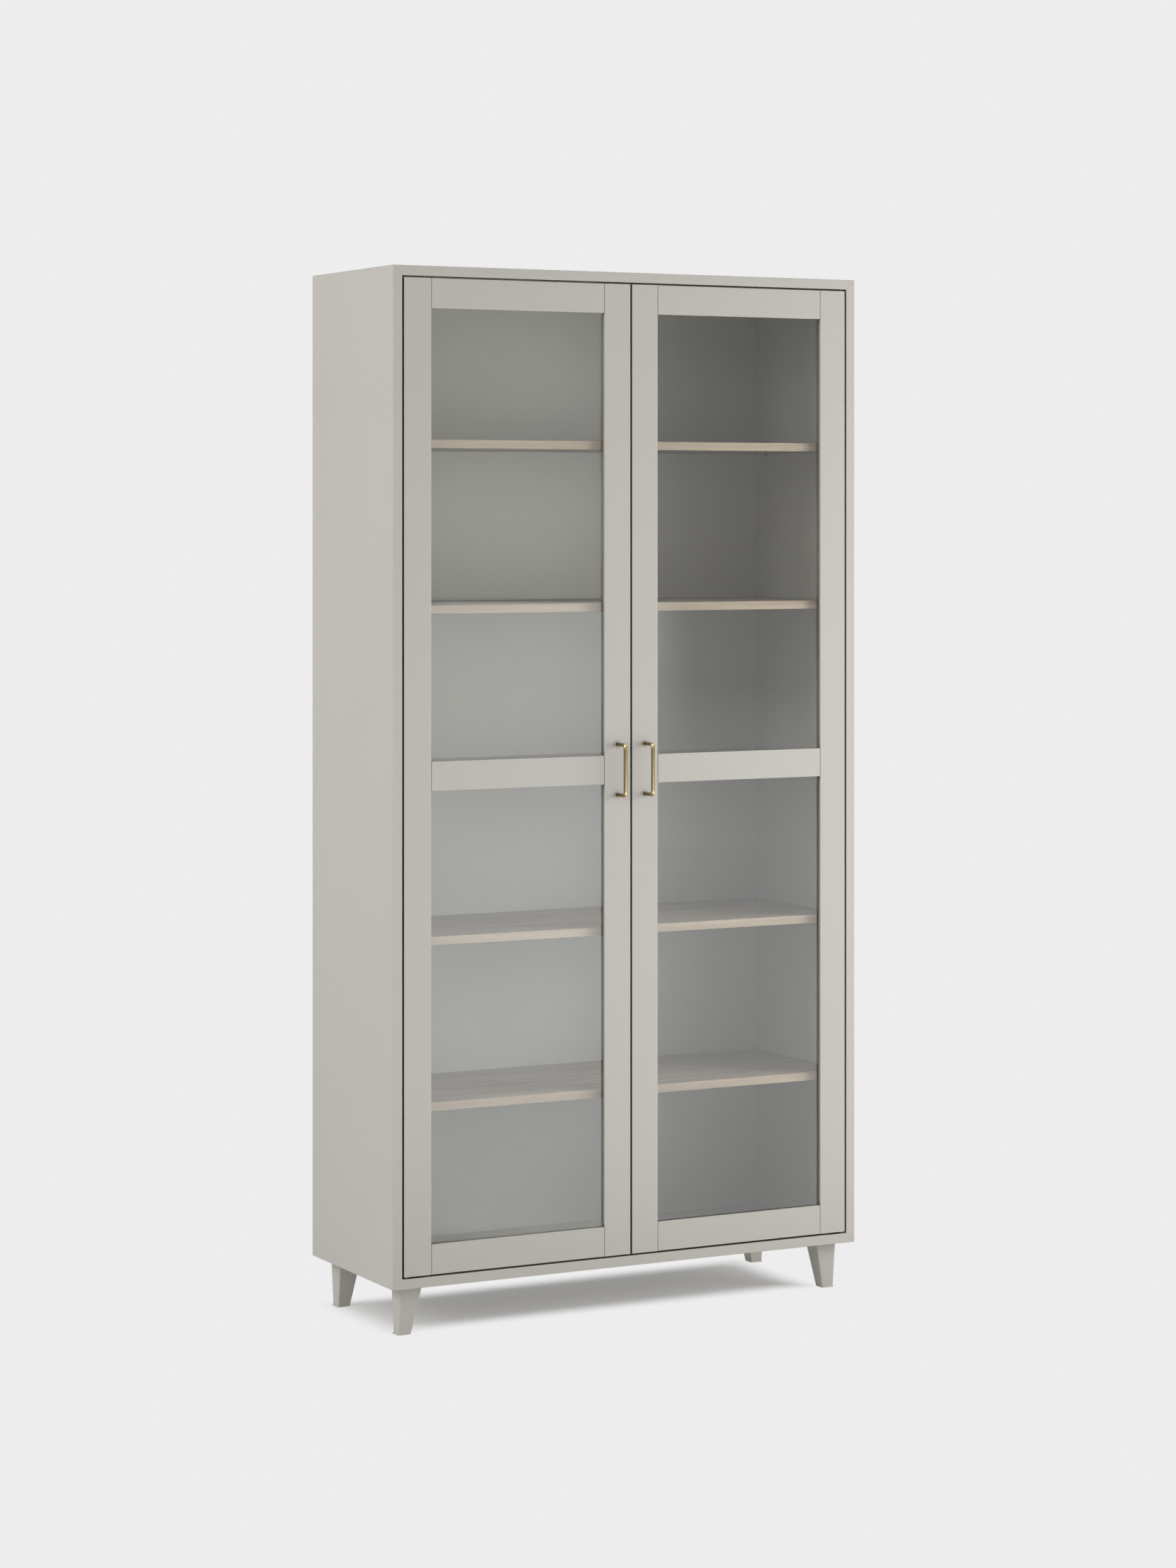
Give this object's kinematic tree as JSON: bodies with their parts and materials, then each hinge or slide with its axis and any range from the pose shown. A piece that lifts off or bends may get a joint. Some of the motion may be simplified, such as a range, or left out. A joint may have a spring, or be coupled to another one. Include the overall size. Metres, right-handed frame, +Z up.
{
  "type": "display cabinet",
  "caption": "Tall display cabinet on tapered legs with hinged glass doors in painted frames, wooden shelves and slim brass handles.",
  "frame": {"origin": "on the floor, in the middle of the cabinet's plan with the handles counted in its depth", "axes": "+Z up, +X to the right seen from the front, the doors' front towards -Y and the back towards +Y"},
  "size_m": [1, 0.4084, 1.988],
  "materials": {
    "satin_lacquer": "satin lacquer in warm grey",
    "light_oak_veneer": "light oak veneer, matt",
    "float_glass": "clear float glass",
    "plated_steel": "zinc plated",
    "brushed_brass": "fine brushed brass",
    "grey_plastic": "moulded, matt"
  },
  "bodies": {
    "carcass": {"back_panel": "satin_lacquer", "bottom_panel": "satin_lacquer", "top_panel": "satin_lacquer", "left_side": "satin_lacquer", "right_side": "satin_lacquer", "leg_front_left": "satin_lacquer", "leg_front_right": "satin_lacquer", "leg_rear_left": "satin_lacquer", "leg_rear_right": "satin_lacquer", "shelf_top": "light_oak_veneer", "shelf_upper": "light_oak_veneer", "shelf_middle_fixed": "light_oak_veneer", "shelf_lower": "light_oak_veneer", "shelf_lowest": "light_oak_veneer", "pin_shelf_top_front_left": "plated_steel", "pin_shelf_top_front_right": "plated_steel", "pin_shelf_top_rear_left": "plated_steel", "pin_shelf_top_rear_right": "plated_steel", "pin_shelf_upper_front_left": "plated_steel", "pin_shelf_upper_front_right": "plated_steel", "pin_shelf_upper_rear_left": "plated_steel", "pin_shelf_upper_rear_right": "plated_steel", "pin_shelf_lower_front_left": "plated_steel", "pin_shelf_lower_front_right": "plated_steel", "pin_shelf_lower_rear_left": "plated_steel", "pin_shelf_lower_rear_right": "plated_steel", "pin_shelf_lowest_front_left": "plated_steel", "pin_shelf_lowest_front_right": "plated_steel", "pin_shelf_lowest_rear_left": "plated_steel", "pin_shelf_lowest_rear_right": "plated_steel", "magnet_catch": "grey_plastic", "left_door_top_pivot_plate": "plated_steel", "left_door_bottom_pivot_plate": "plated_steel", "right_door_top_pivot_plate": "plated_steel", "right_door_bottom_pivot_plate": "plated_steel"},
    "left_door": {"left_door_hinge_stile": "satin_lacquer", "left_door_meeting_stile": "satin_lacquer", "left_door_top_rail": "satin_lacquer", "left_door_middle_rail": "satin_lacquer", "left_door_bottom_rail": "satin_lacquer", "left_door_upper_glass": "float_glass", "left_door_lower_glass": "float_glass", "left_door_upper_bead": "satin_lacquer", "left_door_lower_bead": "satin_lacquer", "left_door_top_hinge_leaf": "plated_steel", "left_door_bottom_hinge_leaf": "plated_steel", "left_door_handle": "brushed_brass"},
    "right_door": {"right_door_hinge_stile": "satin_lacquer", "right_door_meeting_stile": "satin_lacquer", "right_door_top_rail": "satin_lacquer", "right_door_middle_rail": "satin_lacquer", "right_door_bottom_rail": "satin_lacquer", "right_door_upper_glass": "float_glass", "right_door_lower_glass": "float_glass", "right_door_upper_bead": "satin_lacquer", "right_door_lower_bead": "satin_lacquer", "right_door_top_hinge_leaf": "plated_steel", "right_door_bottom_hinge_leaf": "plated_steel", "right_door_handle": "brushed_brass"}
  },
  "joints": [
    {"name": "left_door_hinge", "type": "hinge", "parent": "carcass", "child": "left_door", "pos_m": [-0.471, -0.16325, 1.04], "axis": [0, 0, -1], "range_deg": [0, 110]},
    {"name": "right_door_hinge", "type": "hinge", "parent": "carcass", "child": "right_door", "pos_m": [0.471, -0.16325, 1.04], "axis": [0, 0, 1], "range_deg": [0, 110]}
  ]
}
